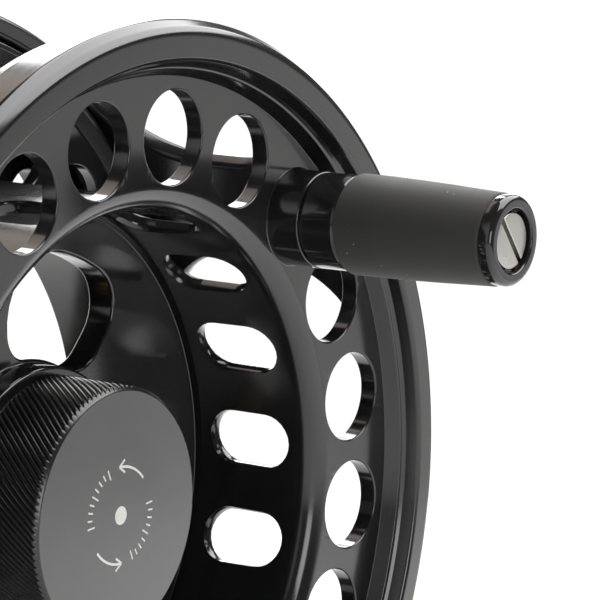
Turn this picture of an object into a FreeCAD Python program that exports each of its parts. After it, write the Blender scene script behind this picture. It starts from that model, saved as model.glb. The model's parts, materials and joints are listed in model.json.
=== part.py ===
import FreeCAD, Part
import os, math
import PartDesign, Sketcher

# Fly reel, large arbor, half frame with an exposed palming rim.
# Own frame: +Z up, the origin at the centre of the foot's seating face.  The
# spool turns about an axis along Y, 57 mm above the seat, and the handle side
# faces -Y.  Every piece is drawn about a local axis Z, with the handle side at
# +Z and z = 0 on the spool's face, and is then laid over by one placement.

os.makedirs("parts", exist_ok=True)
doc = FreeCAD.newDocument("fly_reel")

# ------------------------------------------------------------------ dimensions
DIMS = [
    ("axis_height", 57.0, "spool axis above the foot seat"),
    ("face_to_mid", 17.25, "spool face to the middle of the foot"),
    # spool, front flange
    ("rim_radius", 47.5, "palming rim, outside"),
    ("rim_front", 3.3, "front band of the rim above the face"),
    ("rim_shoulder", 2.1, "where the rim's rounded shoulder starts"),
    ("rim_band_out", 46.6, "front band, outer radius"),
    ("rim_band_in", 43.9, "front band, inner radius"),
    ("rim_rear", -2.0, "rear edge of the rim"),
    ("face_radius", 42.12, "recessed face, outer radius"),
    ("face_inner", 30.8, "recessed face, inner radius"),
    ("face_thick", 1.9, "face thickness"),
    ("hole_pitch_radius", 36.27, "ring of holes"),
    ("hole_radius", 4.54, "face hole"),
    ("hole_step", 18.0, "angle between holes"),
    ("handle_angle", 53.56, "handle, from the +X side"),
    ("boss_radius", 4.79, "handle boss"),
    ("boss_height", 3.6, "handle boss above the face"),
    # spool, drum
    ("drum_out", 30.4, "drum, line side"),
    ("drum_in_front", 29.5, "drum bore at the front lip"),
    ("drum_in", 28.9, "drum bore at the web"),
    ("lip_depth", 1.7, "chamfer at the mouth of the drum"),
    ("web_front", -14.35, "web, front face"),
    ("web_back", -17.5, "web, back face"),
    ("slot_count", 18.0, "drum slots"),
    ("slot_angle", 11.3, "first slot"),
    ("slot_half_width", 2.7, "drum slot, half width"),
    ("slot_front", -3.3, "drum slot, front end"),
    ("slot_rear", -12.6, "drum slot, rear end"),
    ("window_angle", 79.9, "first web window"),
    ("window_in", 13.6, "web window, inner radius"),
    ("window_out", 24.6, "web window, outer radius"),
    ("window_half_angle", 25.1, "web window, half angle"),
    ("hub_radius", 13.2, "spool hub behind the cap"),
    ("hub_front", -11.6, "spool hub, front face"),
    ("hub_rear", -21.4, "spool hub, rear face"),
    ("hub_rear_radius", 11.0, "spool hub behind the web"),
    ("turret_radius", 9.2, "turret the cap turns on"),
    ("turret_front", -6.6, "turret, front face"),
    ("turret_bore", 6.26, "bore the cap nut turns in"),
    ("flange_radius", 44.9, "rear flange, outside"),
    ("flange_front", -29.6, "rear flange, line side"),
    ("flange_thick", 1.5, "rear flange thickness"),
    ("flange_hole_angle", 49.0, "first rear hole"),
    # release cap
    ("cap_radius", 12.44, "release cap"),
    ("cap_front", -2.6, "release cap, front face"),
    ("cap_rear", -11.3, "release cap, rear edge"),
    ("cap_bore", 9.25, "release cap, bore on the turret"),
    # spindle
    ("spindle_radius", 3.0, "spindle"),
    ("spindle_front", -13.5, "spindle, front end"),
    ("spindle_rear", -49.05, "spindle, rear end"),
    ("nose_radius", 5.0, "drive hub nose, over its thread"),
    ("nose_front", -4.6, "drive hub nose, front end"),
    ("nut_radius", 6.2, "cap nut, outside"),
    # frame
    ("frame_radius", 47.5, "frame, outside"),
    ("frame_inner", 45.4, "frame wall, inside"),
    ("frame_lip", -29.3, "front edge of the frame wall"),
    ("plate_front", -36.6, "back plate, front face"),
    ("plate_back", -39.6, "back plate, rear face"),
    ("ring_inner", 40.2, "back plate ring, inside"),
    ("plate_hub", 19.0, "back plate centre disc"),
    ("spoke_half", 3.6, "spoke, half width"),
    ("spoke_count", 6.0, "spokes"),
    ("pillar_front", -4.8, "pillar, front end"),
    ("pillar_half", 6.5, "pillar, half width at the waist"),
    ("pillar_flare", 10.2, "pillar fillet at the back ring"),
    ("pillar_flare_front", 10.4, "pillar fillet at the front ring"),
    ("front_ring_radius", 46.2, "front ring, outside"),
    ("front_ring_front", -2.7, "front ring, front face"),
    ("pad_half", 9.5, "foot pad, half width"),
    # foot
    ("foot_length", 65.0, "reel foot, along the rod"),
    ("foot_width", 13.4, "reel foot, across"),
    ("foot_top", 8.3, "foot neck, top"),
    # drag
    ("housing_radius", 17.0, "drag housing"),
    ("housing_bore", 15.5, "drag housing, bore"),
    ("housing_front", -27.6, "drag housing, front edge"),
    ("rotor_radius", 15.0, "drag rotor disc"),
    ("sleeve_radius", 10.0, "drag rotor sleeve"),
    ("gear_radius", 13.0, "click gear, tips"),
    ("gear_teeth", 36.0, "click gear"),
    ("knob_radius", 15.5, "drag knob"),
    ("knob_front", -40.2, "drag knob, front edge"),
    ("knob_rear", -50.2, "drag knob, rear face"),
    # handle
    ("post_radius", 2.2, "handle post"),
    ("collar_radius", 4.75, "handle collar"),
    ("collar_base", 3.86, "handle collar, foot"),
    ("sleeve_start", 7.8, "grip sleeve, foot"),
    ("sleeve_end", 24.1, "grip sleeve, tip"),
    ("grip_big", 5.0, "grip sleeve radius at the foot"),
    ("grip_small", 4.52, "grip sleeve radius at the tip"),
    ("tip_radius", 4.42, "end ring"),
    ("tip_end", 25.6, "handle tip"),
    ("screw_head", 2.74, "handle screw head"),
]
sheet = doc.addObject("Spreadsheet::Sheet", "dims")
D = {}
for row, (alias, value, note) in enumerate(DIMS, 1):
    sheet.set("A%d" % row, note)
    sheet.set("B%d" % row, str(value))
    sheet.setAlias("B%d" % row, alias)
    D[alias] = value
doc.recompute()


class Q:
    """A number together with the expression that gives it."""

    def __init__(self, v, e):
        self.v, self.e = v, e

    def __add__(self, o):
        o = q(o)
        return Q(self.v + o.v, "(%s + %s)" % (self.e, o.e))

    def __radd__(self, o):
        return q(o) + self

    def __sub__(self, o):
        o = q(o)
        return Q(self.v - o.v, "(%s - %s)" % (self.e, o.e))

    def __rsub__(self, o):
        return q(o) - self

    def __neg__(self):
        return Q(-self.v, "(0 - %s)" % self.e)


def q(x):
    return x if isinstance(x, Q) else Q(float(x), "%.6f" % x if x >= 0 else "(0 - %.6f)" % -x)


def d(name):
    return Q(D[name], "dims.%s" % name)


LAY = FreeCAD.Placement(FreeCAD.Vector(0, -D["face_to_mid"], D["axis_height"]),
                        FreeCAD.Rotation(FreeCAD.Vector(1, 0, 0), 90))
NODES = []


def lay(obj, label, dx=0.0, dy=0.0):
    """Turn a piece drawn about local Z over to the spool's axis."""
    obj.Label = label
    off = FreeCAD.Placement(FreeCAD.Vector(dx, dy, 0), FreeCAD.Rotation())
    obj.Placement = LAY.multiply(off)
    if not dx and not dy:
        obj.setExpression("Placement.Base.y", "0 - dims.face_to_mid")
        obj.setExpression("Placement.Base.z", "dims.axis_height")
    NODES.append(obj)
    return obj


def plane(body, role):
    for f in body.Origin.OriginFeatures:
        if f.Role == role:
            return f
    raise RuntimeError(role)


def body(name):
    return doc.addObject("PartDesign::Body", "B_" + name)


def sketch(b, name, role, turn=None, lift=None):
    s = b.newObject("Sketcher::SketchObject", name)
    s.AttachmentSupport = (plane(b, role), [""])
    s.MapMode = "FlatFace"
    if turn is not None:
        # a plane through the axis is turned about the axis, which is its own V
        ax = FreeCAD.Vector(0, 0, 1) if role == "XY_Plane" else FreeCAD.Vector(0, 1, 0)
        s.AttachmentOffset = FreeCAD.Placement(FreeCAD.Vector(0, 0, 0), FreeCAD.Rotation(ax, turn.v))
        s.setExpression("AttachmentOffset.Rotation.Angle", "%s * 1 deg" % turn.e)
    if lift is not None:
        s.AttachmentOffset = FreeCAD.Placement(FreeCAD.Vector(0, 0, lift.v), FreeCAD.Rotation())
        s.setExpression("AttachmentOffset.Base.z", lift.e)
    return s


def fix(s, geo, pos, x, y):
    """Tie one vertex to the sheet."""
    for kind, w in (("DistanceX", q(x)), ("DistanceY", q(y))):
        if abs(w.v) < 1e-9:
            s.addConstraint(Sketcher.Constraint("PointOnObject", geo, pos, -2 if kind == "DistanceX" else -1))
        else:
            i = s.addConstraint(Sketcher.Constraint(kind, -1, 1, geo, pos, w.v))
            s.setExpression("Constraints[%d]" % i, w.e)


def poly(s, pts):
    pts = [(q(x), q(y)) for x, y in pts]
    n = len(pts)
    first = s.GeometryCount
    for i in range(n):
        a, b = pts[i], pts[(i + 1) % n]
        s.addGeometry(Part.LineSegment(FreeCAD.Vector(a[0].v, a[1].v, 0), FreeCAD.Vector(b[0].v, b[1].v, 0)), False)
    for i in range(n):
        s.addConstraint(Sketcher.Constraint("Coincident", first + i, 2, first + (i + 1) % n, 1))
    for i in range(n):
        fix(s, first + i, 1, pts[i][0], pts[i][1])


def circle(s, x, y, r):
    x, y, r = q(x), q(y), q(r)
    g = s.addGeometry(Part.Circle(FreeCAD.Vector(x.v, y.v, 0), FreeCAD.Vector(0, 0, 1), r.v), False)
    fix(s, g, 3, x, y)
    i = s.addConstraint(Sketcher.Constraint("Radius", g, r.v))
    s.setExpression("Constraints[%d]" % i, r.e)


def turn_about(b, name, pts, groove=False):
    """Revolve a profile of (radius, z) points about the axis."""
    s = sketch(b, name + "_profile", "XZ_Plane")
    poly(s, pts)
    f = b.newObject("PartDesign::Groove" if groove else "PartDesign::Revolution", name)
    f.Profile = s
    f.ReferenceAxis = (s, ["V_Axis"])
    f.Angle = 360
    doc.recompute()
    return f


def cut(b, name, s, both=True, length=None, reverse=False):
    f = b.newObject("PartDesign::Pocket", name)
    f.Profile = s
    before = b.Shape.Volume
    if both:
        f.Type = "ThroughAll"
        f.Midplane = True
    else:
        f.Type = "Length"
        f.setExpression("Length", length.e)
        f.Reversed = reverse
    doc.recompute()
    if abs(b.Shape.Volume - before) < 0.01:
        raise RuntimeError("cut took nothing: " + name)
    return f


def around(b, feature, count, angle=360.0, turn_expr=None):
    p = b.newObject("PartDesign::PolarPattern", feature.Name + "_pattern")
    p.Originals = [feature]
    p.Axis = (plane(b, "Z_Axis"), [""])
    p.Angle = angle
    p.Occurrences = int(count)
    if turn_expr:
        p.setExpression("Occurrences", turn_expr)
    b.Tip = p
    doc.recompute()
    return p


def turned(label, pts, dx=0.0, dy=0.0):
    """A plain turned piece, one profile."""
    b = body(label)
    turn_about(b, label + "_turning", pts)
    return lay(b, label, dx, dy)


def loose(label, shape, dx=0.0, dy=0.0):
    f = doc.addObject("Part::Feature", "F_" + label)
    f.Shape = shape
    return lay(f, label, dx, dy)


V = FreeCAD.Vector
Z = V(0, 0, 1)


def cyl(r, z0, z1, x=0.0, y=0.0):
    return Part.makeCylinder(r, z1 - z0, V(x, y, z0), Z)


def ring(r0, r1, z0, z1, x=0.0, y=0.0):
    return cyl(r1, z0, z1, x, y).cut(cyl(r0, z0 - 1, z1 + 1, x, y))


def polar(r, deg):
    return r * math.cos(math.radians(deg)), r * math.sin(math.radians(deg))


# ------------------------------------------------------------------ the spool
# The spool is one billet.  It is drawn as five nodes that meet face to face:
# the front flange with the palming rim, the drum, the web, the hub and the
# rear flange.
face_back = -d("face_thick")

b = body("spool_front")
turn_about(b, "front_turning", [
    (d("drum_out"), face_back), (d("drum_out"), -0.42), (d("face_inner"), 0), (d("face_radius"), 0),
    (d("rim_band_in") - 1.0, 1.5), (d("rim_band_in") - 0.8, 1.55), (d("rim_band_in") - 0.35, d("rim_front") - 0.35),
    (d("rim_band_in"), d("rim_front")), (d("rim_band_out"), d("rim_front")),
    (d("rim_radius") - 0.36, d("rim_front") - 0.32), (d("rim_radius"), d("rim_shoulder")),
    (d("rim_radius"), d("rim_rear") + 0.35), (d("rim_radius") - 0.35, d("rim_rear")),
    (d("rim_radius") - 3.0, d("rim_rear")), (d("rim_radius") - 4.4, face_back)])
s = sketch(b, "boss_circle", "XY_Plane", turn=d("handle_angle"))
circle(s, d("hole_pitch_radius"), 0, d("boss_radius"))
f = b.newObject("PartDesign::Pad", "handle_boss")
f.Profile = s
f.setExpression("Length", "dims.boss_height")
doc.recompute()
s = sketch(b, "post_hole_circle", "XY_Plane", turn=d("handle_angle"))
circle(s, d("hole_pitch_radius"), 0, d("post_radius") - 0.4)
cut(b, "post_hole", s)
s = sketch(b, "face_hole_circle", "XY_Plane", turn=d("handle_angle") + d("hole_step"))
circle(s, d("hole_pitch_radius"), 0, d("hole_radius"))
hole = cut(b, "face_hole", s)
around(b, hole, 19, 324.0)
lay(b, "spool_front")

b = body("spool_drum")
turn_about(b, "drum_turning", [
    (d("drum_in"), d("web_front")), (d("drum_in_front"), -d("lip_depth")), (d("drum_out") - 0.02, -0.44),
    (d("drum_out"), -0.44), (d("drum_out"), d("flange_front") - d("flange_thick")), (d("drum_in"), d("flange_front") - d("flange_thick"))])
s = sketch(b, "slot_shape", "XZ_Plane", turn=d("slot_angle") + 90)
hw, z1, z0 = d("slot_half_width"), d("slot_front"), d("slot_rear")
# obround with its long side along the axis
zc1, zc0 = z1 - hw, z0 + hw
g = s.addGeometry([Part.LineSegment(V(hw.v, zc0.v, 0), V(hw.v, zc1.v, 0)),
                   Part.LineSegment(V(-hw.v, zc1.v, 0), V(-hw.v, zc0.v, 0)),
                   Part.ArcOfCircle(Part.Circle(V(0, zc1.v, 0), Z, hw.v), 0, math.pi),
                   Part.ArcOfCircle(Part.Circle(V(0, zc0.v, 0), Z, hw.v), math.pi, 2 * math.pi)], False)
s.addConstraint([Sketcher.Constraint("Coincident", 0, 2, 2, 1), Sketcher.Constraint("Coincident", 2, 2, 1, 1),
                 Sketcher.Constraint("Coincident", 1, 2, 3, 1), Sketcher.Constraint("Coincident", 3, 2, 0, 1)])
fix(s, 2, 3, 0, zc1)
fix(s, 3, 3, 0, zc0)
i = s.addConstraint(Sketcher.Constraint("Radius", 2, hw.v))
s.setExpression("Constraints[%d]" % i, hw.e)
i = s.addConstraint(Sketcher.Constraint("Radius", 3, hw.v))
s.setExpression("Constraints[%d]" % i, hw.e)
slot = cut(b, "drum_slot", s, both=False, length=q(40), reverse=False)
around(b, slot, 18, 360.0, "dims.slot_count")
lay(b, "spool_drum")

b = body("spool_web")
turn_about(b, "web_turning", [
    (d("hub_rear_radius"), d("web_back")), (d("drum_in"), d("web_back")),
    (d("drum_in"), d("web_front")), (d("hub_rear_radius"), d("web_front"))])
s = sketch(b, "window_shape", "XY_Plane", turn=d("window_angle"))
# kidney window: two arcs about the axis, joined by straight ends with round corners


def at(r, a):
    return V(r * math.cos(a), r * math.sin(a), 0)


def window_outline(s, ri, ro, half_angle, corners):
    ha = math.radians(half_angle)
    tips = {}
    for r, radii in ((ri, corners[:2]), (ro, corners[2:])):
        for side, rc in zip((1, -1), radii):
            k = rc if r == ri else -rc
            c = at(r + k, side * (ha - math.asin(rc / (r + k))))
            on_arc = at(r, math.atan2(c.y, c.x))
            on_end = c + at(rc, side * (ha + math.pi / 2))
            m = (on_arc - c).normalize() + (on_end - c).normalize()
            s.addGeometry(Part.Arc(on_arc, c + m.normalize() * rc, on_end), False)
            tips[(r, side)] = (on_arc, on_end)
        s.addGeometry(Part.Arc(tips[(r, 1)][0], at(r, 0), tips[(r, -1)][0]), False)
    for side in (1, -1):
        s.addGeometry(Part.LineSegment(tips[(ri, side)][1], tips[(ro, side)][1]), False)
    for gi in range(s.GeometryCount):
        s.addConstraint(Sketcher.Constraint("Block", gi))


window_outline(s, D["window_in"], D["window_out"], D["window_half_angle"], (2.8, 4.4, 6.8, 3.2))
window = cut(b, "web_window", s)
around(b, window, 4)
lay(b, "spool_web")

b = body("spool_hub")
turn_about(b, "hub_turning", [
    (5.5, d("hub_rear")), (d("hub_rear_radius"), d("hub_rear")), (d("hub_rear_radius"), d("web_front")),
    (d("hub_radius"), d("web_front")), (d("hub_radius"), d("hub_front") - 0.4), (d("hub_radius") - 0.4, d("hub_front")),
    (d("turret_radius"), d("hub_front")), (d("turret_radius"), d("turret_front")), (d("turret_bore"), d("turret_front")),
    (d("turret_bore"), -13.0), (5.5, -13.0)])
# hexagonal socket for the drive hub, from the rear
s = sketch(b, "socket_shape", "XY_Plane", lift=q(-13.0))
poly(s, [polar(7.08, 60 * k + 30) for k in range(6)])
cut(b, "hex_socket", s, both=False, length=q(9.0), reverse=False)
lay(b, "spool_hub")

b = body("spool_rear_flange")
ff = d("flange_front")
turn_about(b, "flange_turning", [
    (d("drum_out"), ff - d("flange_thick")), (d("drum_out"), ff), (d("flange_radius") - 2.2, ff),
    (d("flange_radius") - 0.3, ff + 0.9), (d("flange_radius"), ff + 0.6), (d("flange_radius"), ff - d("flange_thick") + 0.2),
    (d("flange_radius") - 0.2, ff - d("flange_thick"))])
s = sketch(b, "flange_hole_circle", "XY_Plane", turn=d("flange_hole_angle"))
circle(s, d("hole_pitch_radius"), 0, d("hole_radius"))
hole = cut(b, "flange_hole", s)
around(b, hole, 20, 360.0)
lay(b, "spool_rear_flange")

# balance plug in the hole across from the handle
bx, by = polar(D["hole_pitch_radius"], D["handle_angle"] + 180)
turned("counterweight", [(0, face_back - 1.6), (d("hole_radius") + 0.8, face_back - 1.6), (d("hole_radius") + 0.8, face_back),
                         (d("hole_radius"), face_back), (d("hole_radius"), -0.25), (d("hole_radius") - 0.3, 0.05), (0, 0.05)], bx, by)

# ring that keeps the release cap on its turret, with three screws
turned("cap_retainer", [(6.4, d("turret_front")), (d("turret_radius") + 0.9, d("turret_front")),
                        (d("turret_radius") + 0.9, -5.7), (6.4, -5.7)])
shapes = []
for k in range(3):
    x, y = polar(7.9, 90 + 120 * k)
    shapes.append(cyl(1.2, -5.7, -5.0, x, y).cut(Part.makeBox(2.8, 0.4, 0.35, V(x - 1.4, y - 0.2, -5.35))))
loose("retainer_screws", Part.makeCompound(shapes))

# ------------------------------------------------------------ release cap
b = body("release_cap")
cf, cr, R = d("cap_front"), d("cap_rear"), d("cap_radius")
turn_about(b, "cap_turning", [
    (d("cap_bore"), cr), (R - 0.3, cr), (R, cr + 0.3), (R, cf - 0.42), (R - 0.45, cf), (0, cf), (0, cf - 0.9),
    (d("nut_radius"), cf - 0.9), (d("nut_radius"), cf - 1.5),
    (10.9, cf - 1.5), (10.9, d("turret_front") - 0.25), (d("cap_bore"), d("turret_front") - 0.25)])
lay(b, "release_cap")
# threaded nut pressed into the cap: it turns in the turret and draws the spool
# onto the drive hub's nose
turned("cap_nut", [(d("nose_radius") + 0.05, -12.3), (d("nut_radius"), -12.3), (d("nut_radius"), cf - 0.9), (d("nose_radius") + 0.05, cf - 0.9)])
turned("cap_washer", [(9.6, cr), (11.9, cr), (11.9, d("hub_front")), (9.6, d("hub_front"))])

# ------------------------------------------------------------ spindle and drive
SR = d("spindle_radius")
turned("spindle", [(1.5, d("spindle_rear")), (SR, d("spindle_rear")), (SR, -36.6), (5.6, -36.6), (5.6, -35.4),
                   (SR, -35.4), (SR, d("spindle_front") - 0.3), (SR - 0.3, d("spindle_front")), (1.5, d("spindle_front")), (1.5, -20.0),
                   (0, -20.0), (0, -44.2), (1.5, -44.2)])
hexa = Part.Face(Part.makePolygon([V(*polar(5.5, 60 * k), -42.6) for k in range(7)])).extrude(V(0, 0, 3.0))
loose("spindle_nut", hexa.cut(cyl(D["spindle_radius"], -44, -38)))

# bearing at the rear of the rotor
turned("bearing_inner_race", [(3.0, -32.6), (4.2, -32.6), (4.2, -31.7), (4.05, -31.2), (4.2, -30.7), (4.2, -29.8), (3.0, -29.8)])
turned("bearing_outer_race", [(5.8, -32.6), (7.0, -32.6), (7.0, -29.8), (5.8, -29.8), (5.8, -30.7), (5.95, -31.2), (5.8, -31.7)])
loose("bearing_balls", Part.makeCompound([Part.makeSphere(0.78, V(*polar(5.0, 45 * k), -31.2)) for k in range(8)]))

turned("drag_rotor", [
    (7.0, -32.6), (7.6, -32.6), (7.6, -32.4), (d("rotor_radius"), -32.4), (d("rotor_radius"), -31.2), (d("sleeve_radius"), -31.2),
    (d("sleeve_radius"), -24.8), (8.2, -24.8), (8.2, -29.3), (6.4, -29.3), (6.4, -29.8), (7.0, -29.8)])
rollers, cage = [], ring(5.75, 7.65, -29.0, -25.2)
for k in range(8):
    x, y = polar(6.7, 45 * k)
    rollers.append(cyl(1.44, -28.4, -25.8, x, y))
    cage = cage.cut(cyl(1.6, -28.6, -25.6, x, y))
loose("clutch_rollers", Part.makeCompound(rollers))
loose("clutch_cage", cage)

hub = cyl(5.2, -29.2, -22.6).fuse(cyl(8.0, -22.6, -21.6))
hexb = Part.Face(Part.makePolygon([V(*polar(6.93, 60 * k + 30), -21.6) for k in range(7)])).extrude(V(0, 0, 8.2))
nose = cyl(D["nose_radius"], -13.4, D["nose_front"])
loose("drive_hub", hub.fuse(hexb).fuse(nose).removeSplitter().cut(cyl(4.2, -30, -4)))
turned("hub_bush", [(3.04, -29.2), (4.2, -29.2), (4.2, -13.6), (3.04, -13.6)])
# screw and washer in the spindle's front end, which keep the hub on it
turned("hub_washer", [(1.6, -13.5), (4.0, -13.5), (4.0, -12.9), (1.6, -12.9)])
key = Part.Face(Part.makePolygon([V(*polar(1.2, 60 * k), -12.2) for k in range(7)])).extrude(V(0, 0, 2))
loose("hub_screw", cyl(1.5, -19.6, -12.9).fuse(cyl(2.9, -12.9, -11.3)).cut(key))

# click gear on the drive hub
n = int(D["gear_teeth"])
pts = []
for k in range(n):
    for da, r in ((-3.4, 11.7), (-1.3, D["gear_radius"]), (1.3, D["gear_radius"]), (3.4, 11.7)):
        pts.append(V(*polar(r, 360.0 / n * k + da), -24.3))
pts.append(pts[0])
loose("click_gear", Part.Face(Part.makePolygon(pts)).extrude(V(0, 0, 1.6)).cut(cyl(5.2, -26, -22)))

# ------------------------------------------------------------ drag
b = body("drag_housing")
turn_about(b, "housing_turning", [
    (6.2, d("plate_front")), (d("housing_radius"), d("plate_front")), (d("housing_radius"), d("housing_front")),
    (d("housing_bore"), d("housing_front")), (d("housing_bore"), -35.2), (6.2, -35.2)])
s = sketch(b, "pin_hole_circle", "XY_Plane")
circle(s, 9.0, 0, 1.3)
hole = cut(b, "pin_hole", s)
around(b, hole, 3)
s = sketch(b, "thread_circle", "XY_Plane", turn=q(45))
circle(s, 13.2, 0, 1.0)
hole = cut(b, "thread_hole", s)
around(b, hole, 4)
lay(b, "drag_housing")
shapes = []
for k in range(4):
    x, y = polar(13.2, 45 + 90 * k)
    shapes.append(cyl(1.0, -38.6, -35.3, x, y).fuse(cyl(1.9, -39.7, -38.4, x, y)).cut(Part.makeBox(4.4, 0.5, 0.6, V(x - 2.2, y - 0.25, -39.9))))
loose("housing_screws", Part.makeCompound(shapes))

loose("pressure_plate", ring(3.3, 15.2, -34.7, -33.6))
turned("drag_disc_rear", [(8.2, -33.6), (14.8, -33.6), (14.8, -32.9), (8.2, -32.9)])
turned("drag_disc_front", [(10.6, -31.1), (14.8, -31.1), (14.8, -30.2), (10.6, -30.2)])
b = body("housing_cover")
turn_about(b, "cover_turning", [
    (11.6, -30.2), (d("housing_bore"), -30.2), (d("housing_bore"), -27.6), (d("housing_radius"), -27.6),
    (d("housing_radius"), -26.8), (d("housing_radius") - 0.4, -26.4), (10.25, -26.4), (10.25, -27.4), (11.6, -27.4)])
s = sketch(b, "spanner_hole_circle", "XY_Plane", turn=q(75), lift=None)
circle(s, 13.6, 0, 0.9)
hole = cut(b, "spanner_hole", s)
around(b, hole, 4)
lay(b, "housing_cover")
turned("cover_seal", [(10.12, -29.4), (11.5, -29.4), (11.5, -27.5), (10.12, -27.5)])

# click pawl: its tip rests in a gap of the click gear, its pin stands in the cover
er, et = V(*polar(1.0, 5.0), 0), V(*polar(1.0, 95.0), 0)


def pw(r, w, z=-24.2):
    return er * r + et * w + V(0, 0, z)


outline = [pw(12.15, -0.14), pw(12.15, 0.14), pw(13.0, 0.45), pw(13.5, 1.0), pw(14.0, 3.2), pw(13.75, 5.6), pw(15.0, 8.0), pw(16.7, 6.8),
           pw(16.0, 4.0), pw(14.9, 0.0), pw(14.3, -1.1), pw(13.5, -1.0), pw(13.0, -0.45)]
pin = pw(15.2, 6.5, 0)
pawl = Part.Face(Part.makePolygon(outline + [outline[0]])).extrude(V(0, 0, 1.4)).cut(cyl(1.05, -26, -22, pin.x, pin.y))
loose("click_pawl", pawl)
loose("pawl_pin", cyl(1.0, -26.4, -22.2, pin.x, pin.y).fuse(cyl(1.6, -22.6, -22.2, pin.x, pin.y)))
coils = [Part.makeTorus(1.42, 0.2, V(pin.x, pin.y, -26.1 + 0.42 * k), Z) for k in range(4)]
leg = Part.makeCylinder(0.2, 4.6, V(pin.x, pin.y, -24.84) + er * 1.42, -et)
loose("pawl_spring", Part.makeCompound(coils + [leg]))

b = body("drag_knob")
kf, kr, KR = d("knob_front"), d("knob_rear"), d("knob_radius")
turn_about(b, "knob_turning", [
    (13.0, kf), (KR - 0.3, kf), (KR, kf - 0.3), (KR, kr + 0.8), (KR - 0.8, kr), (4.8, kr), (4.8, -49.0), (3.05, -49.0),
    (3.05, -47.4), (13.0, -47.4)])
s = sketch(b, "flute_circle", "XY_Plane")
circle(s, KR + 0.9, 0, 1.7)
flute = cut(b, "flute", s)
around(b, flute, 24)
lay(b, "drag_knob")
loose("knob_screw", cyl(4.5, -50.05, -49.05).cut(Part.makeBox(9.4, 0.9, 0.7, V(-4.7, -0.45, -50.3))).fuse(cyl(1.5, -49.05, -44.4)))
turned("thrust_washer", [(6.4, -47.3), (11.8, -47.3), (11.8, -46.7), (6.4, -46.7)])
washers = []
for k in range(3):
    z0 = -46.3 + 0.52 * k
    a, c = (z0, z0 + 0.2)
    prof = [V(6.4, 0, a), V(11.4, 0, c), V(11.4, 0, c + 0.35), V(6.4, 0, a + 0.35)]
    washers.append(Part.Face(Part.makePolygon(prof + [prof[0]])).revolve(V(0, 0, 0), Z, 360))
loose("spring_washers", Part.makeCompound(washers))
loose("pin_carrier", ring(6.2, 11.6, -44.6, -43.6))
loose("push_pins", Part.makeCompound([cyl(1.2, -43.6, -34.7, *polar(9.0, 120 * k)) for k in range(3)]))

# ------------------------------------------------------------ frame
b = body("frame_back")
FR, FI = d("frame_radius"), d("frame_inner")
pf, pb, lip = d("plate_front"), d("plate_back"), d("frame_lip")
turn_about(b, "plate_turning", [
    (SR, pb), (FR - 0.5, pb), (FR, pb + 0.5), (FR, lip - 0.3), (FR - 0.3, lip), (FI + 0.3, lip), (FI, lip - 0.3), (FI, pf), (SR, pf)])
s = sketch(b, "spoke_gap_shape", "XY_Plane", turn=q(30))
window_outline(s, D["plate_hub"], D["ring_inner"], 180.0 / D["spoke_count"] - 7.5, (2.5, 2.5, 2.5, 2.5))
gap = cut(b, "spoke_gap", s)
around(b, gap, 6, 360.0, "dims.spoke_count")
s = sketch(b, "plate_pin_circle", "XY_Plane")
circle(s, 9.0, 0, 1.3)
hole = cut(b, "plate_pin_hole", s)
around(b, hole, 3)
s = sketch(b, "plate_screw_circle", "XY_Plane", turn=q(45))
circle(s, 13.2, 0, 1.05)
hole = cut(b, "plate_screw_hole", s)
around(b, hole, 4)
turn_about(b, "sink_turning", [(11.2, pb - 0.5), (15.2, pb - 0.5), (15.2, -38.4), (11.2, -38.4)], groove=True)
lay(b, "frame_back")


def wall(angle, half):
    """One pillar: a strip of the frame's wall with a waist, flared where it meets the rings."""
    e_r, e_t = V(*polar(1.0, angle), 0), V(*polar(1.0, angle + 90), 0)
    fb, ff = D["pillar_flare"], D["pillar_flare_front"]
    zf, zl = D["pillar_front"], D["frame_lip"]

    def p(t, z):
        return e_r * 38.0 + e_t * t + V(0, 0, z)
    k = 1 - math.sqrt(0.5)
    edges = [Part.LineSegment(p(-half - ff, zf), p(half + ff, zf)).toShape(),
             Part.Arc(p(half + ff, zf), p(half + ff * k, zf - ff * k), p(half, zf - ff)).toShape(),
             Part.LineSegment(p(half, zf - ff), p(half, zl + fb)).toShape(),
             Part.Arc(p(half, zl + fb), p(half + fb * k, zl + fb * k), p(half + fb, zl)).toShape(),
             Part.LineSegment(p(half + fb, zl), p(-half - fb, zl)).toShape(),
             Part.Arc(p(-half - fb, zl), p(-half - fb * k, zl + fb * k), p(-half, zl + fb)).toShape(),
             Part.LineSegment(p(-half, zl + fb), p(-half, zf - ff)).toShape(),
             Part.Arc(p(-half, zf - ff), p(-half - ff * k, zf - ff * k), p(-half - ff, zf)).toShape()]
    prism = Part.Face(Part.Wire(edges)).extrude(e_r * 14.0)
    return prism.common(ring(D["frame_inner"], D["frame_radius"], zl, zf))


loose("frame_pillars", Part.makeCompound([wall(a, D["pillar_half"]) for a in (39.0, 141.0, 219.0, 321.0)]))
# the front ring sits in the shadow of the spool's palming rim
loose("frame_front_ring", ring(D["frame_inner"], D["front_ring_radius"], D["pillar_front"], D["front_ring_front"]))
mid = -D["face_to_mid"]
pad_y = -(D["axis_height"] - D["foot_top"])
foot_wall = wall(270.0, D["pad_half"])
pad = Part.makeBox(2 * D["pad_half"], -pad_y - 46.0, 13.4, V(-D["pad_half"], pad_y, mid - 6.7))
foot_wall = foot_wall.fuse(pad.cut(cyl(D["frame_inner"], -40, 0))).removeSplitter()
for x in (-6.0, 6.0):
    foot_wall = foot_wall.cut(Part.makeCylinder(1.5, 8.0, V(x, pad_y - 1, mid), V(0, 1, 0)))
loose("foot_pillar", foot_wall)

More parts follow.
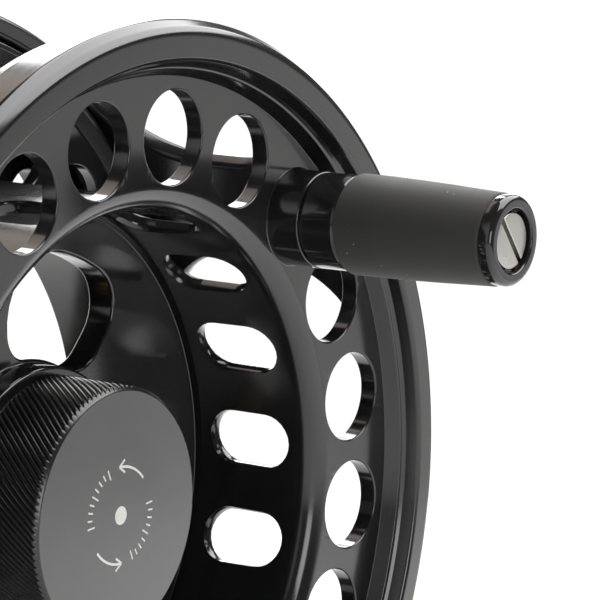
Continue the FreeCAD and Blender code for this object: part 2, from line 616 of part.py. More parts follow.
# ------------------------------------------------------------ reel foot, drawn where it is
b = body("reel_foot")
FL, FW, FT = d("foot_length"), d("foot_width"), d("foot_top")
s = sketch(b, "foot_plan", "XY_Plane")
hl, hw2 = D["foot_length"] / 2, D["foot_width"] / 2
poly(s, [(-hl, -hw2 + 4.2), (-hl + 2.2, -hw2 + 1.9), (-hl + 8.0, -hw2 + 0.7), (-hl + 18, -hw2), (hl - 18, -hw2), (hl - 8.0, -hw2 + 0.7), (hl - 2.2, -hw2 + 1.9), (hl, -hw2 + 4.2),
         (hl, hw2 - 4.2), (hl - 2.2, hw2 - 1.9), (hl - 8.0, hw2 - 0.7), (hl - 18, hw2), (-hl + 18, hw2), (-hl + 8.0, hw2 - 0.7), (-hl + 2.2, hw2 - 1.9), (-hl, hw2 - 4.2)])
f = b.newObject("PartDesign::Pad", "foot_block")
f.Profile = s
f.setExpression("Length", "dims.foot_top")
doc.recompute()
for side in (1, -1):
    s = sketch(b, "ramp_shape_%s" % ("a" if side > 0 else "b"), "XZ_Plane")
    pts = [(side * 10.5, 9.5), (side * 10.5, 8.3), (side * 10.6, 6.4), (side * 11.4, 4.6), (side * 13.2, 3.6), (side * 17.0, 3.1),
           (side * 31.0, 1.5), (side * 33.5, 0.9), (side * 33.5, 9.5)]
    poly(s, pts if side > 0 else pts[::-1])
    cut(b, "ramp_%s" % ("a" if side > 0 else "b"), s)
s = sketch(b, "foot_screw_circle", "XY_Plane")
circle(s, 6.0, 0, 1.55)
circle(s, -6.0, 0, 1.55)
cut(b, "foot_screw_hole", s)
s = sketch(b, "foot_sink_circle", "XY_Plane")
circle(s, 6.0, 0, 2.9)
circle(s, -6.0, 0, 2.9)
f = b.newObject("PartDesign::Pocket", "foot_sink")
f.Profile = s
f.Type = "Length"
f.Length = 2.4
f.Reversed = True
doc.recompute()
b.Label = "reel_foot"
NODES.append(b)
shapes = []
for x in (-6.0, 6.0):
    sc = Part.makeCylinder(2.75, 1.9, V(x, 0, 0.5), Z).fuse(Part.makeCylinder(1.5, 8.9, V(x, 0, 2.4), Z))
    shapes.append(sc.cut(Part.makeBox(5.6, 0.7, 0.8, V(x - 2.8, -0.35, 0.2))))
fs = doc.addObject("Part::Feature", "F_foot_screws")
fs.Shape = Part.makeCompound(shapes)
fs.Label = "foot_screws"
NODES.append(fs)

# ------------------------------------------------------------ handle
hx, hy = polar(D["hole_pitch_radius"], D["handle_angle"])
PR, BH = d("post_radius"), d("boss_height")
turned("handle_post", [(0, face_back), (PR - 0.4, face_back), (PR - 0.4, BH), (PR, BH), (PR, 23.6), (1.2, 23.6), (1.2, 19.2), (0, 19.2)], hx, hy)
turned("handle_washer", [(PR, BH), (4.55, BH), (4.55, BH + 0.2), (PR, BH + 0.2)], hx, hy)
CR, CB, S0, S1 = d("collar_radius"), d("collar_base"), d("sleeve_start"), d("sleeve_end")
TR, TE = d("tip_radius"), d("tip_end")
turned("handle_core", [
    (3.0, CB), (CR - 0.25, CB), (CR, CB + 0.25), (CR, S0), (3.8, S0), (3.8, S1), (TR, S1), (TR, TE - 0.75), (TR - 0.22, TE - 0.22),
    (TR - 0.75, TE), (3.4, TE), (3.2, TE - 0.3), (3.2, TE - 0.8), (3.0, TE - 0.8)], hx, hy)
turned("grip_sleeve", [(3.8, S0), (d("grip_big") - 0.3, S0), (d("grip_big"), S0 + 0.35), (d("grip_small"), S1 - 0.3), (d("grip_small") - 0.2, S1), (3.8, S1)], hx, hy)
loose("handle_bushes", Part.makeCompound([ring(2.24, 3.0, 4.2, 8.2), ring(2.24, 3.0, 19.0, 23.0)]), hx, hy)
head = cyl(D["screw_head"], 23.6, 25.2).cut(Part.makeBox(6, 0.62, 0.75, V(-3, -0.31, 24.5)))
head.rotate(V(0, 0, 0), Z, -45)
loose("handle_screw", head.fuse(cyl(1.2, 19.4, 23.6)), hx, hy)

# ------------------------------------------------------------ check and write
doc.recompute()
bad = [o.Label for o in doc.Objects if "Invalid" in o.State or "Error" in o.State]
for o in NODES:
    if o.Shape.isNull() or not o.Shape.isValid() or o.Shape.Volume <= 0:
        bad.append("shape of " + o.Label)
if bad:
    raise RuntimeError("failed: " + ", ".join(bad))
for o in NODES:
    o.Shape.exportStep("parts/%s.step" % o.Label)
    bb = o.Shape.optimalBoundingBox() if hasattr(o.Shape, "optimalBoundingBox") else o.Shape.BoundBox
    print("%-20s %2d solids %9.1f mm3  x %.1f..%.1f  y %.1f..%.1f  z %.1f..%.1f" % (
        o.Label, len(o.Shape.Solids), o.Shape.Volume, bb.XMin, bb.XMax, bb.YMin, bb.YMax, bb.ZMin, bb.ZMax))
print(len(NODES), "nodes")
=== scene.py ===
import bpy, bmesh, json, math
from mathutils import Vector, Matrix


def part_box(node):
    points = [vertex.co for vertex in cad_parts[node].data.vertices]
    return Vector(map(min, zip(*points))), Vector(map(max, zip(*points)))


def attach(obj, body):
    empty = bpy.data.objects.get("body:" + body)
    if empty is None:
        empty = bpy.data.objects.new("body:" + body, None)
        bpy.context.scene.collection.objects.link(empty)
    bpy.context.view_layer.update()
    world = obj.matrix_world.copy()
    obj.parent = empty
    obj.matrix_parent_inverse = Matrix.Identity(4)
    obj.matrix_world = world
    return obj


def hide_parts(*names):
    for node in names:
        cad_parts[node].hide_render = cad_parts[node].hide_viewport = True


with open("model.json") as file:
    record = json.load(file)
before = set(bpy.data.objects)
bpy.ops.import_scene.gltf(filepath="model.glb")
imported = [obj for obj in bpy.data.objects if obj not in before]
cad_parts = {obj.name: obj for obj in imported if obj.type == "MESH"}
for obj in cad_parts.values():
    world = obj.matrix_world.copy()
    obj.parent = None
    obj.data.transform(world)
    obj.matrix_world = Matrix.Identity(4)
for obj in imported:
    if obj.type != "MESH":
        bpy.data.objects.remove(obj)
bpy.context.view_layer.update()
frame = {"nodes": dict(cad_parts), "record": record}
NODES = frame["nodes"]
scene = bpy.context.scene
MM = 0.001

# ---------------------------------------------------------------- frame of the reel
# a = distance along the spool axis from the spool's face, + towards the handle
lo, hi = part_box("spool_rear_flange")
AXIS_Z = (lo.z + hi.z) / 2 / MM              # 57
FACE_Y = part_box("spool_drum")[1].y / MM - 31.1   # -17.25


def W(x, y, a):
    return Vector((x, FACE_Y - a, AXIS_Z + y)) * MM


def pol(r, deg):
    return r * math.cos(math.radians(deg)), r * math.sin(math.radians(deg))


# ---------------------------------------------------------------- mesh tools
def rounded(points, n=5):
    """Closed or open outline of (p, q[, fillet]); returns the outline with its corners filleted."""
    out = []
    m = len(points)
    for i, p in enumerate(points):
        f = p[2] if len(p) > 2 else 0.0
        b = Vector(p[:2])
        if f <= 0:
            out.append(b)
            continue
        a, c = Vector(points[i - 1][:2]), Vector(points[(i + 1) % m][:2])
        u, v = (a - b), (c - b)
        lu, lv = u.length, v.length
        u.normalize(), v.normalize()
        ang = math.acos(max(-1, min(1, u.dot(v))))
        if ang > math.radians(178):
            out.append(b)
            continue
        t = min(f / math.tan(ang / 2), 0.49 * lu, 0.49 * lv)
        r = t * math.tan(ang / 2)
        centre = b + (u + v).normalized() * (r / math.sin(ang / 2))
        s, e = b + u * t - centre, b + v * t - centre
        a0 = math.atan2(s.y, s.x)
        d = math.atan2(e.y, e.x) - a0
        d = (d + math.pi) % (2 * math.pi) - math.pi
        for k in range(n + 1):
            w = a0 + d * k / n
            out.append(centre + Vector((math.cos(w), math.sin(w))) * r)
    return out


def new_object(name, verts, faces):
    me = bpy.data.meshes.new(name)
    me.from_pydata([tuple(v) for v in verts], [], faces)
    me.update()
    bm = bmesh.new()
    bm.from_mesh(me)
    bmesh.ops.remove_doubles(bm, verts=bm.verts, dist=1e-8)
    bmesh.ops.recalc_face_normals(bm, faces=bm.faces)
    bm.to_mesh(me)
    bm.free()
    o = bpy.data.objects.new(name, me)
    scene.collection.objects.link(o)
    return o


def lathe_data(outline, segs, cx=0.0, cy=0.0, radial=None):
    """Closed outline of (r, a) turned about the line through (cx, cy)."""
    verts, faces, rows = [], [], []
    for p in outline:
        r, a = p[0], p[1]
        if r < 1e-5:
            rows.append([len(verts)])
            verts.append(W(cx, cy, a))
        else:
            row = []
            for k in range(segs):
                w = 2 * math.pi * k / segs
                rr = r if radial is None else radial(r, a, w)
                row.append(len(verts))
                verts.append(W(cx + rr * math.cos(w), cy + rr * math.sin(w), a))
            rows.append(row)
    n = len(rows)
    for i in range(n):
        p, q = rows[i], rows[(i + 1) % n]
        if len(p) == 1 and len(q) == 1:
            continue
        for k in range(segs):
            j = (k + 1) % segs
            if len(p) == 1:
                faces.append((p[0], q[k], q[j]))
            elif len(q) == 1:
                faces.append((p[k], q[0], p[j]))
            else:
                faces.append((p[k], q[k], q[j], p[j]))
    return verts, faces


def lathe(name, points, segs, cx=0.0, cy=0.0, n=5):
    v, f = lathe_data(rounded(points, n), segs, cx, cy)
    return new_object(name, v, f)


def merged(name, lots):
    """One object from several (verts, faces)."""
    V, F = [], []
    for v, f in lots:
        k = len(V)
        V += list(v)
        F += [tuple(i + k for i in q) for q in f]
    return new_object(name, V, F)


def loft_data(rings):
    """Closed tube through rings of the same number of points, capped with n-gons."""
    n = len(rings[0])
    verts = [p for r in rings for p in r]
    faces = [tuple(range(n))[::-1], tuple(range((len(rings) - 1) * n, len(rings) * n))]
    for i in range(len(rings) - 1):
        for k in range(n):
            j = (k + 1) % n
            faces.append((i * n + k, i * n + j, (i + 1) * n + j, (i + 1) * n + k))
    return verts, faces


def cut(obj, cutter, op="DIFFERENCE"):
    m = obj.modifiers.new("cut", "BOOLEAN")
    m.operation = op
    m.solver = "EXACT"
    m.object = cutter
    dg = bpy.context.evaluated_depsgraph_get()
    me = bpy.data.meshes.new_from_object(obj.evaluated_get(dg))
    obj.modifiers.remove(m)
    old = obj.data
    obj.data = me
    bpy.data.meshes.remove(old)
    bpy.data.objects.remove(cutter)
    return obj


def shade(obj, angle=32.0, weighted=True):
    me = obj.data
    bm = bmesh.new()
    bm.from_mesh(me)
    bmesh.ops.remove_doubles(bm, verts=bm.verts, dist=2e-7)
    bmesh.ops.dissolve_degenerate(bm, edges=bm.edges, dist=1e-8)
    for f in bm.faces:
        f.smooth = True
    lim = math.radians(angle)
    for e in bm.edges:
        e.smooth = not (len(e.link_faces) == 2 and e.calc_face_angle(0.0) > lim)
    flat = [abs(f.normal.y) > 0.9999995 for f in bm.faces]
    bm.to_mesh(me)
    bm.free()
    if weighted:
        # flat faces across the axis lead, so that the rounds meet them without a ripple
        layer = me.attributes.new("__mod_weightednormals_faceweight", "INT", "FACE")
        for i, is_flat in enumerate(flat):
            layer.data[i].value = 16384 if is_flat else -16384
        m = obj.modifiers.new("normals", "WEIGHTED_NORMAL")
        m.keep_sharp = True
        m.use_face_influence = True
        m.weight = 60
    return obj


def obround(hw, z0, z1, n=10):
    """Outline of a slot, long side along the second coordinate, as (s, z)."""
    pts = []
    for k in range(n + 1):
        w = math.pi * k / n
        pts.append((hw * math.cos(w), z1 - hw + hw * math.sin(w)))
    for k in range(n + 1):
        w = math.pi + math.pi * k / n
        pts.append((hw * math.cos(w), z0 + hw + hw * math.sin(w)))
    return pts


def offset(poly, d):
    """Moves each point of a counterclockwise outline outwards by d."""
    out, n = [], len(poly)
    for i in range(n):
        a, b, c = (Vector(poly[i - 1]), Vector(poly[i]), Vector(poly[(i + 1) % n]))
        e1, e2 = (b - a), (c - b)
        if e1.length < 1e-9:
            e1 = e2
        if e2.length < 1e-9:
            e2 = e1
        n1 = Vector((e1.y, -e1.x)).normalized()
        n2 = Vector((e2.y, -e2.x)).normalized()
        m = (n1 + n2)
        m = m.normalized() if m.length > 1e-9 else n1
        k = max(0.35, m.dot(n1))
        out.append(tuple(b + m * (d / k)))
    return out


def kidney(ri, ro, half, corners, mid, n=24, c=9):
    """Window between two arcs about the axis, counterclockwise as (x, y).
    corners: inner left, inner right, outer left, outer right."""
    ha = math.radians(half)
    il, ir, ol, orr = corners
    pts = []

    def centre(r, rc, side, k):
        rr = r + k * rc
        return rr, side * (ha - math.asin(rc / rr))

    def corner(r, rc, side, k, a0, a1, first, last):
        rr, w = centre(r, rc, side, k)
        cx, cy = rr * math.cos(w), rr * math.sin(w)
        for i in range(first, last):
            t = a0 + (a1 - a0) * i / c
            pts.append((cx + rc * math.cos(t), cy + rc * math.sin(t)))
    w_ol, w_or = centre(ro, ol, 1, -1)[1], centre(ro, orr, -1, -1)[1]
    w_il, w_ir = centre(ri, il, 1, 1)[1], centre(ri, ir, -1, 1)[1]
    for i in range(n + 1):
        t = w_or + (w_ol - w_or) * i / n
        pts.append((ro * math.cos(t), ro * math.sin(t)))
    corner(ro, ol, 1, -1, w_ol, ha + math.pi / 2, 1, c + 1)
    corner(ri, il, 1, 1, ha + math.pi / 2, w_il + math.pi, 0, c + 1)
    for i in range(1, n):
        t = w_il + (w_ir - w_il) * i / n
        pts.append((ri * math.cos(t), ri * math.sin(t)))
    corner(ri, ir, -1, 1, math.pi + w_ir, 3 * math.pi / 2 - ha, 0, c + 1)
    corner(ro, orr, -1, -1, 3 * math.pi / 2 - ha, 2 * math.pi + w_or, 0, c)
    m = math.radians(mid)
    return [(x * math.cos(m) - y * math.sin(m), x * math.sin(m) + y * math.cos(m)) for x, y in pts]


def edge_flare(z_lo, z_hi, e, n=4, past=1.0):
    """(z, offset) list for a hole cutter whose mouths are rounded by radius e at both surfaces."""
    z_lo, z_hi = z_lo - 0.012, z_hi + 0.012      # so that the surface meets the round cleanly
    zs = [(z_lo - past, e * 1.15)]
    for k in range(n + 1):
        w = math.pi / 2 * k / n
        zs.append((z_lo + e - e * math.cos(w), e - e * math.sin(w)))
    for k in range(n + 1):
        w = math.pi / 2 * (1 - k / n)
        zs.append((z_hi - e + e * math.cos(w), e - e * math.sin(w)))
    zs.append((z_hi + past, e * 1.15))
    return zs


# ---------------------------------------------------------------- materials
def nt(mat):
    mat.use_nodes = True
    t = mat.node_tree
    t.nodes.clear()
    out = t.nodes.new("ShaderNodeOutputMaterial")
    b = t.nodes.new("ShaderNodeBsdfPrincipled")
    t.links.new(b.outputs[0], out.inputs[0])
    return t, b


def math_node(t, op, a, b=None, clamp=False):
    n = t.nodes.new("ShaderNodeMath")
    n.operation = op
    n.use_clamp = clamp
    for i, x in enumerate((a, b)):
        if x is None:
            continue
        if isinstance(x, (int, float)):
            n.inputs[i].default_value = x
        else:
            t.links.new(x, n.inputs[i])
    return n.outputs[0]


def ramp(t, fac, stops):
    n = t.nodes.new("ShaderNodeValToRGB")
    while len(n.color_ramp.elements) < len(stops):
        n.color_ramp.elements.new(0.5)
    for e, (p, c) in zip(n.color_ramp.elements, stops):
        e.position = p
        e.color = (c, c, c, 1) if isinstance(c, (int, float)) else (*c, 1)
    t.links.new(fac, n.inputs[0])
    return n.outputs[0]


def to_range(t, x, a, b, c, d):
    n = t.nodes.new("ShaderNodeMapRange")
    n.clamp = True
    for i, v in zip((1, 2, 3, 4), (a, b, c, d)):
        n.inputs[i].default_value = v
    t.links.new(x, n.inputs[0])
    return n.outputs[0]


def noise(t, vec, scale, detail=2.0, rough=0.5, dims="3D", dist=0.0):
    n = t.nodes.new("ShaderNodeTexNoise")
    n.noise_dimensions = dims
    n.inputs["Scale"].default_value = scale
    n.inputs["Detail"].default_value = detail
    n.inputs["Roughness"].default_value = rough
    n.inputs["Distortion"].default_value = dist
    if vec is not None:
        t.links.new(vec, n.inputs["Vector"])
    return n.outputs["Fac"]


def turned_coords(t, cx, cz, kr, ky):
    """(r*kr, y*ky, 0) about the line through (cx, cz) along Y: marks a lathe leaves."""
    tc = t.nodes.new("ShaderNodeTexCoord").outputs["Object"]
    s = t.nodes.new("ShaderNodeSeparateXYZ")
    t.links.new(tc, s.inputs[0])
    dx = math_node(t, "SUBTRACT", s.outputs[0], cx)
    dz = math_node(t, "SUBTRACT", s.outputs[2], cz)
    r = math_node(t, "SQRT", math_node(t, "ADD", math_node(t, "MULTIPLY", dx, dx), math_node(t, "MULTIPLY", dz, dz)))
    c = t.nodes.new("ShaderNodeCombineXYZ")
    t.links.new(math_node(t, "MULTIPLY", r, kr), c.inputs[0])
    t.links.new(math_node(t, "MULTIPLY", s.outputs[1], ky), c.inputs[1])
    return tc, c.outputs[0], r, dx, dz


def bump(t, b, height, strength, dist=0.0001):
    n = t.nodes.new("ShaderNodeBump")
    n.inputs["Strength"].default_value = strength
    n.inputs["Distance"].default_value = dist
    t.links.new(height, n.inputs["Height"])
    t.links.new(n.outputs[0], b.inputs["Normal"])


def anodised(name, colour, rough, centre=(0.0, AXIS_Z * MM), marks=0.05, spec=0.5, coat=0.0, metallic=0.0, wear=0.02, coat_rough=0.08, aniso=0.0):
    mat = bpy.data.materials.new(name)
    t, b = nt(mat)
    b.inputs["Metallic"].default_value = metallic
    b.inputs["Specular IOR Level"].default_value = spec
    b.inputs["Coat Weight"].default_value = coat
    b.inputs["Coat Roughness"].default_value = coat_rough
    if aniso:
        b.inputs["Anisotropic"].default_value = aniso
        tan = t.nodes.new("ShaderNodeTangent")
        tan.direction_type, tan.axis = "RADIAL", "Y"
        t.links.new(tan.outputs["Tangent"], b.inputs["Tangent"])
    tc, rings, r, dx, dz = turned_coords(t, centre[0], centre[1], 1.0, 1.0)
    lines = noise(t, rings, 9000.0, 1.0, 0.5, "2D")
    patch = noise(t, tc, 180.0, 3.0, 0.6)
    grain = noise(t, tc, 9000.0, 2.0, 0.6)
    mix = t.nodes.new("ShaderNodeMix")
    mix.data_type = "RGBA"
    mix.inputs["A"].default_value = (*[c * 0.8 for c in colour], 1)
    mix.inputs["B"].default_value = (*[min(1, c * 1.25 + wear * 0.1) for c in colour], 1)
    t.links.new(patch, mix.inputs["Factor"])
    t.links.new(mix.outputs["Result"], b.inputs["Base Color"])
    rr = math_node(t, "ADD", to_range(t, patch, 0.3, 0.7, rough * 0.88, rough * 1.12), to_range(t, lines, 0.3, 0.7, -0.02, 0.02))
    t.links.new(rr, b.inputs["Roughness"])
    h = math_node(t, "ADD", math_node(t, "MULTIPLY", lines, 0.7), math_node(t, "MULTIPLY", grain, 0.5))
    bump(t, b, h, marks, 0.00002)
    return mat


def metal(name, colour, rough, marks=0.1, centre=(0.0, AXIS_Z * MM), tint=0.9):
    mat = bpy.data.materials.new(name)
    t, b = nt(mat)
    b.inputs["Metallic"].default_value = 1.0
    tc, rings, r, dx, dz = turned_coords(t, centre[0], centre[1], 1.0, 1.0)
    lines = noise(t, rings, 7000.0, 1.0, 0.5, "2D")
    patch = noise(t, tc, 400.0, 4.0, 0.6)
    mix = t.nodes.new("ShaderNodeMix")
    mix.data_type = "RGBA"
    mix.inputs["A"].default_value = (*[c * tint for c in colour], 1)
    mix.inputs["B"].default_value = (*colour, 1)
    t.links.new(patch, mix.inputs["Factor"])
    t.links.new(mix.outputs["Result"], b.inputs["Base Color"])
    t.links.new(to_range(t, patch, 0.25, 0.75, rough * 0.8, rough * 1.25), b.inputs["Roughness"])
    bump(t, b, math_node(t, "ADD", lines, patch), marks, 0.00002)
    return mat


def rubber(name, colour, rough=0.75):
    mat = bpy.data.materials.new(name)
    t, b = nt(mat)
    tc = t.nodes.new("ShaderNodeTexCoord").outputs["Object"]
    blot = noise(t, tc, 260.0, 4.0, 0.62)
    fine = noise(t, tc, 5200.0, 3.0, 0.65)
    mix = t.nodes.new("ShaderNodeMix")
    mix.data_type = "RGBA"
    mix.inputs["A"].default_value = (*[c * 0.82 for c in colour], 1)
    mix.inputs["B"].default_value = (*[c * 1.2 for c in colour], 1)
    t.links.new(to_range(t, blot, 0.3, 0.7, 0, 1), mix.inputs["Factor"])
    # fine dust caught in the surface
    v = t.nodes.new("ShaderNodeTexVoronoi")
    v.inputs["Scale"].default_value = 900.0
    t.links.new(tc, v.inputs["Vector"])
    dot = to_range(t, v.outputs["Distance"], 0.06, 0.10, 1.0, 0.0)
    keep = to_range(t, noise(t, tc, 420.0, 1.0), 0.60, 0.64, 0.0, 1.0)
    dust = math_node(t, "MULTIPLY", dot, keep)
    m2 = t.nodes.new("ShaderNodeMix")
    m2.data_type = "RGBA"
    m2.inputs["B"].default_value = (0.34, 0.33, 0.31, 1)
    t.links.new(mix.outputs["Result"], m2.inputs["A"])
    t.links.new(dust, m2.inputs["Factor"])
    t.links.new(m2.outputs["Result"], b.inputs["Base Color"])
    t.links.new(to_range(t, blot, 0.3, 0.7, rough * 0.9, rough * 1.1), b.inputs["Roughness"])
    b.inputs["Specular IOR Level"].default_value = 0.45
    b.inputs["Sheen Weight"].default_value = 0.12
    b.inputs["Sheen Roughness"].default_value = 0.6
    bump(t, b, math_node(t, "ADD", fine, math_node(t, "MULTIPLY", blot, 1.5)), 0.35, 0.00003)
    return mat


def plastic(name, colour, rough=0.5, scale=1500.0):
    mat = bpy.data.materials.new(name)
    t, b = nt(mat)
    tc = t.nodes.new("ShaderNodeTexCoord").outputs["Object"]
    n = noise(t, tc, scale, 3.0, 0.6)
    mix = t.nodes.new("ShaderNodeMix")
    mix.data_type = "RGBA"
    mix.inputs["A"].default_value = (*[c * 0.85 for c in colour], 1)
    mix.inputs["B"].default_value = (*[min(1, c * 1.1) for c in colour], 1)
    t.links.new(n, mix.inputs["Factor"])
    t.links.new(mix.outputs["Result"], b.inputs["Base Color"])
    t.links.new(to_range(t, n, 0.3, 0.7, rough * 0.9, rough * 1.1), b.inputs["Roughness"])
    bump(t, b, n, 0.15, 0.00003)
    return mat


def carbon(name):
    mat = bpy.data.materials.new(name)
    t, b = nt(mat)
    tc = t.nodes.new("ShaderNodeTexCoord").outputs["Object"]
    c = t.nodes.new("ShaderNodeTexChecker")
    c.inputs["Scale"].default_value = 1400.0
    c.inputs["Color1"].default_value = (0.02, 0.02, 0.021, 1)
    c.inputs["Color2"].default_value = (0.055, 0.055, 0.057, 1)
    t.links.new(tc, c.inputs["Vector"])
    t.links.new(c.outputs["Color"], b.inputs["Base Color"])
    t.links.new(to_range(t, noise(t, tc, 3000.0, 2.0), 0.3, 0.7, 0.4, 0.6), b.inputs["Roughness"])
    bump(t, b, c.outputs["Fac"], 0.3, 0.00005)
    return mat


HANDLE_C = pol(36.27, 53.56)
HC = (HANDLE_C[0] * MM, (AXIS_Z + HANDLE_C[1]) * MM)
M_SPOOL = anodised("anodised_gloss", (0.008, 0.008, 0.0083), 0.15, marks=0.03, spec=0.68, coat=0.0)
M_FRAME = anodised("anodised_frame", (0.010, 0.010, 0.0104), 0.22, marks=0.03, spec=0.5)
M_HANDLE = anodised("anodised_handle", (0.010, 0.010, 0.0105), 0.10, centre=HC, marks=0.02, spec=0.62)
M_CAPSIDE = anodised("anodised_knurl", (0.012, 0.012, 0.012), 0.24, marks=0.04, spec=0.6)
M_CAPFACE = anodised("anodised_cap_face", (0.022, 0.0222, 0.0225), 0.2, marks=0.05, spec=1.0, aniso=0.3)
M_MARK = plastic("etched_mark", (0.62, 0.62, 0.60), 0.6)
M_RUBBER = rubber("soft_grip", (0.0225, 0.022, 0.021))
M_NICKEL = metal("nickel", (0.47, 0.46, 0.435), 0.32, 0.25, centre=HC)
M_STEEL = metal("stainless", (0.60, 0.60, 0.60), 0.28, 0.2)
M_BEARING = metal("bearing_steel", (0.62, 0.62, 0.63), 0.12, 0.08)
M_BRONZE = metal("bronze", (0.62, 0.40, 0.2), 0.42, 0.3)
M_BRASS = metal("brass", (0.75, 0.57, 0.28), 0.3, 0.2)
M_TUNGSTEN = anodised("weight_black", (0.016, 0.016, 0.017), 0.3, marks=0.05)
M_CARBON = carbon("carbon_face")
M_NYLON = plastic("nylon", (0.72, 0.70, 0.63), 0.5)
M_SEAL = plastic("seal_rubber", (0.02, 0.02, 0.02), 0.7)
BY_SLOT = {"black_anodised": M_SPOOL, "frame_black": M_FRAME, "cap_black": M_CAPSIDE, "grip_rubber": M_RUBBER, "stainless": M_STEEL,
           "nickel": M_NICKEL, "bearing_steel": M_BEARING, "bronze": M_BRONZE, "brass": M_BRASS, "tungsten": M_TUNGSTEN,
           "carbon": M_CARBON, "nylon": M_NYLON, "seal_rubber": M_SEAL}


def paint(o, *mats):
    o.data.materials.clear()
    for m in mats:
        o.data.materials.append(m)


for part in frame["record"]["subparts"]:
    o = NODES[part["node"]]
    for i in range(max(1, len(o.material_slots))):
        if len(o.material_slots) <= i:
            o.data.materials.append(BY_SLOT[part["material_slot"]])
        else:
            o.material_slots[i].material = BY_SLOT[part["material_slot"]]


def put(o, body, slot, *nodes, mat=None, angle=32.0, weighted=True):
    shade(o, angle, weighted)
    paint(o, mat or BY_SLOT[slot])
    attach(o, body)
    if nodes:
        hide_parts(*nodes)
    return o


# ---------------------------------------------------------------- the spool billet
SEG = 360
spool = lathe("spool_billet", [
    (31.75, 0.0), (31.35, -0.03), (30.95, -0.13), (30.55, -0.32), (30.2, -0.58), (29.9, -0.9), (29.66, -1.28), (29.5, -1.72), (29.42, -2.2),
    (28.93, -13.9, 0.15), (28.93, -14.8, 0.12), (28.3, -14.8, 0.12), (28.3, -14.35, 0.12), (13.2, -14.35, 0.4), (13.2, -11.6, 0.35),
    (9.2, -11.6), (9.2, -6.6, 0.2), (6.26, -6.6), (6.26, -13.0), (6.1, -13.0), (6.1, -21.4), (11.0, -21.4, 0.3), (11.0, -17.5, 0.6),
    (28.9, -17.5, 0.6), (28.9, -31.1, 0.25), (44.9, -31.1, 0.25), (44.9, -29.1, 0.3), (44.2, -28.8, 0.3), (42.7, -29.6, 0.6),
    (30.4, -29.6, 0.9), (30.4, -1.9, 0.9), (43.0, -1.9, 0.5), (44.5, -2.0, 0.3), (47.5, -2.0, 0.4), (47.5, 1.75, 0.8),
    (46.82, 2.72, 0.8), (46.2, 3.14, 1.5), (43.72, 3.3, 0.5), (43.30, 1.85, 0.2), (43.02, 1.55, 0.12), (42.75, 1.5, 0.2), (42.12, 0.0, 0.1)], SEG)
boss = lathe("boss", [(0, -1.0), (4.95, -1.0), (4.95, 0.003), (4.85, 0.05), (4.80, 0.16),
                      (4.79, 3.6, 0.18), (0, 3.6)], 128, *HANDLE_C, n=5)
cut(spool, boss, "UNION")
lots = []
for k in range(1, 20):
    x, y = pol(36.27, 53.56 + 18 * k)
    lots.append(lathe_data([(0, -3.0)] + [(4.54 + off, z) for z, off in edge_flare(-1.9, 0.0, 0.22)] + [(0, 1.0)], 72, x, y))
for k in range(20):
    x, y = pol(36.27, 49.0 + 18 * k)
    lots.append(lathe_data([(0, -32.5)] + [(4.54 + off, z) for z, off in edge_flare(-31.1, -29.6, 0.2)] + [(0, -28.2)], 64, x, y))
lots.append(lathe_data([(0, -3.0), (1.82, -3.0), (1.82, 5.0), (0, 5.0)], 32, *HANDLE_C))
# drum slots, cut radially
slot_shape = obround(2.7, -12.6, -3.3, 12)
for k in range(18):
    m = math.radians(11.3 + 20 * k)
    er, et = Vector((math.cos(m), math.sin(m))), Vector((-math.sin(m), math.cos(m)))
    rings = []
    for r, off in ((26.5, 0.25), (28.7, 0.25), (29.1, 0.12), (29.3, 0.03), (29.5, 0.0), (30.0, 0.0), (30.25, 0.06), (30.42, 0.22), (32.0, 0.3)):
        rings.append([W(*(er * r + et * s), z) for s, z in offset(slot_shape, off)])
    lots.append(loft_data(rings))
# web windows
for k in range(4):
    base = kidney(13.6, 24.2, 24.8, (2.8, 4.4, 6.6, 4.2), 79.6 + 90 * k)
    rings = [[W(x, y, z) for x, y in offset(base, off)] for z, off in edge_flare(-17.5, -14.35, 0.35)]
    lots.append(loft_data(rings))
cut(spool, merged("cutters", lots))
put(spool, "spool", "black_anodised", "spool_front", "spool_drum", "spool_web", "spool_hub", "spool_rear_flange")

# balance weight
wx, wy = pol(36.27, 233.56)
weight = lathe("balance_weight", [(0, -3.5), (5.3, -3.5, 0.3), (5.3, -1.93), (4.5, -1.9), (4.5, -0.2, 0.12), (4.2, 0.03, 0.2), (1.1, 0.03, 0.2), (1.0, -0.5), (0, -0.5)], 72, wx, wy)
put(weight, "spool", "tungsten", "counterweight")

# ---------------------------------------------------------------- release cap
TEETH, PER = 112, 6
PROFILE = (0.0, 0.62, 0.95, 1.0, 0.95, 0.62)
R_CAP, DEPTH = 12.44, 0.24


def knurl_ring(a, limit, depth=DEPTH):
    row = []
    n = TEETH * PER
    twist = -math.tan(math.radians(38)) * (a + 2.6) / R_CAP
    for k in range(n):
        w = 2 * math.pi * k / n - twist
        r = min(R_CAP - depth * (1 - PROFILE[k % PER]), limit)
        row.append(W(r * math.cos(w), r * math.sin(w), a))
    return row


steps = [(-11.28, R_CAP - 0.34), (-11.12, R_CAP - 0.16), (-10.96, R_CAP)] + [(-10.96 + 7.82 * k / 14, R_CAP) for k in range(1, 15)]
steps += [(-3.04, R_CAP - 0.05), (-2.92, R_CAP - 0.16), (-2.76, R_CAP - 0.32), (-2.64, R_CAP - 0.44)]
rows = [knurl_ring(a, lim) for a, lim in steps]
n = TEETH * PER


def plain_ring(r, a):
    twist = -math.tan(math.radians(38)) * (a + 2.6) / R_CAP
    return [W(r * math.cos(2 * math.pi * k / n - twist), r * math.sin(2 * math.pi * k / n - twist), a) for k in range(n)]


back = [plain_ring(9.25, -11.3), plain_ring(R_CAP - 0.42, -11.3)]


def dome(r):
    """Height of the slightly domed cap face."""
    return 0.35 * max(0.0, 1 - (r / 11.84) ** 2)


